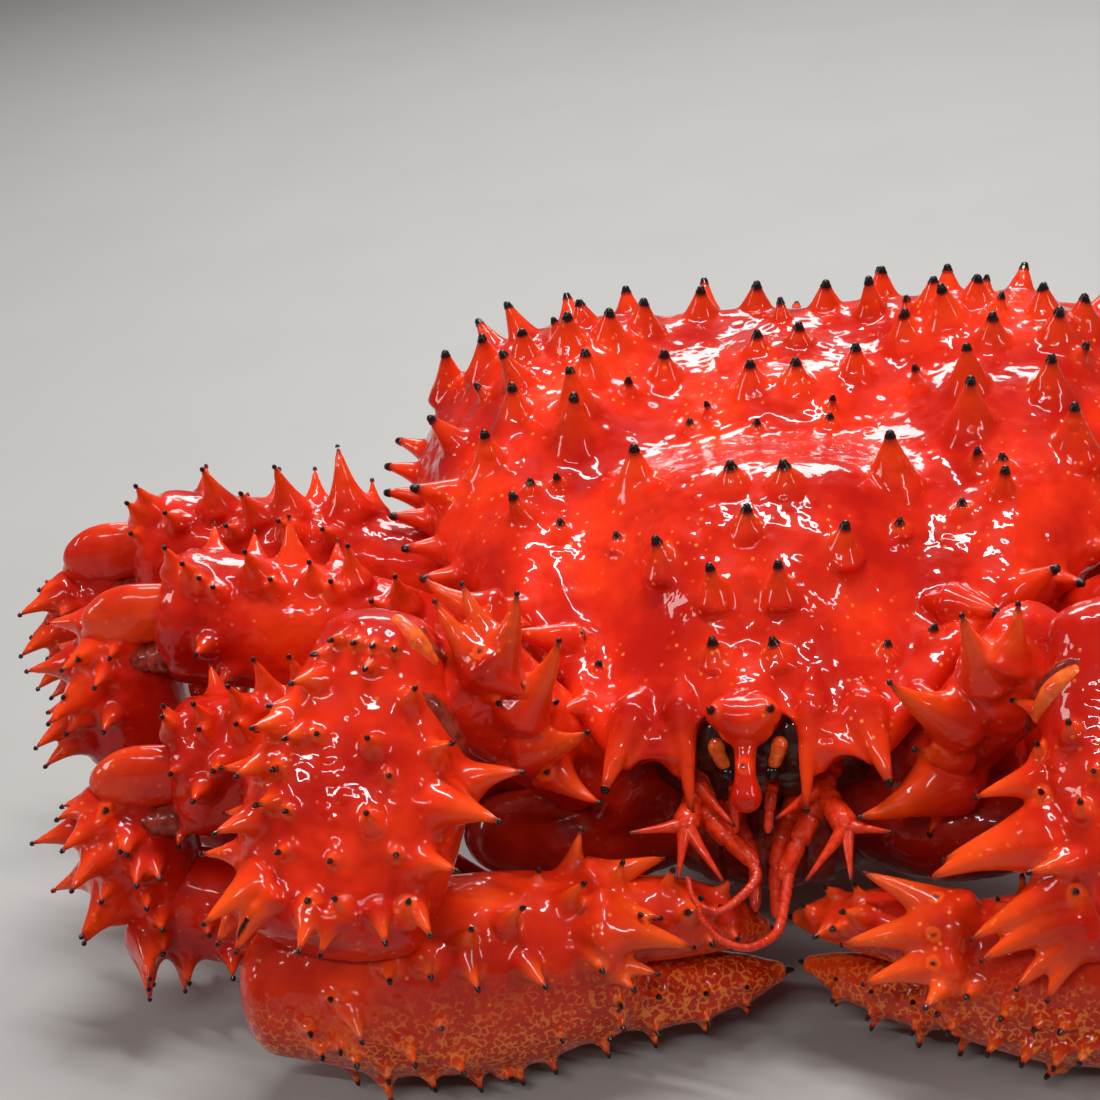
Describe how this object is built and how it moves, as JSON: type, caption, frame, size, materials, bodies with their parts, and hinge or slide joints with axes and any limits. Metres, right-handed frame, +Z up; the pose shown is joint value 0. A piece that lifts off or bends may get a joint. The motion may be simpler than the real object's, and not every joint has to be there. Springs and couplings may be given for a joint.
{
  "type": "hanasaki crab model",
  "caption": "Still model of a boiled hanasaki crab resting with its legs folded under its shell and its claws drawn together in front.",
  "frame": {"origin": "under the middle of the whole box, on the floor that the crab rests on", "axes": "the crab faces -Y, its left side is +X, and +Z is up"},
  "size_m": [0.2726, 0.1546, 0.0862],
  "materials": {
    "shell": "wet gloss, orange red, spines tipped black",
    "leg": "wet gloss, deep orange red, spines tipped black",
    "claw": "wet gloss, orange red, finger tips black",
    "belly": "damp satin, pale orange",
    "feeler": "wet gloss, dark red, ringed",
    "cornea": "polished black",
    "stalk": "wet gloss, orange yellow"
  },
  "bodies": {
    "root": {"abdomen": "belly", "antenna_left": "feeler", "antenna_right": "feeler", "antennule_left": "feeler", "antennule_right": "feeler", "carapace": "shell", "claw_carpus_left": "claw", "claw_carpus_right": "claw", "claw_finger_left": "claw", "claw_finger_right": "claw", "claw_ischium_left": "claw", "claw_ischium_right": "claw", "claw_merus_left": "claw", "claw_merus_right": "claw", "claw_palm_left": "claw", "claw_palm_right": "claw", "cornea_left": "cornea", "cornea_right": "cornea", "eye_stalk_left": "stalk", "eye_stalk_right": "stalk", "front_leg_carpus_left": "leg", "front_leg_carpus_right": "leg", "front_leg_dactylus_left": "leg", "front_leg_dactylus_right": "leg", "front_leg_ischium_left": "leg", "front_leg_ischium_right": "leg", "front_leg_merus_left": "leg", "front_leg_merus_right": "leg", "front_leg_propodus_left": "leg", "front_leg_propodus_right": "leg", "maxilliped_left": "feeler", "maxilliped_right": "feeler", "middle_leg_carpus_left": "leg", "middle_leg_carpus_right": "leg", "middle_leg_dactylus_left": "leg", "middle_leg_dactylus_right": "leg", "middle_leg_ischium_left": "leg", "middle_leg_ischium_right": "leg", "middle_leg_merus_left": "leg", "middle_leg_merus_right": "leg", "middle_leg_propodus_left": "leg", "middle_leg_propodus_right": "leg", "rear_leg_carpus_left": "leg", "rear_leg_carpus_right": "leg", "rear_leg_dactylus_left": "leg", "rear_leg_dactylus_right": "leg", "rear_leg_ischium_left": "leg", "rear_leg_ischium_right": "leg", "rear_leg_merus_left": "leg", "rear_leg_merus_right": "leg", "rear_leg_propodus_left": "leg", "rear_leg_propodus_right": "leg", "thorax": "belly"}
  },
  "joints": []
}
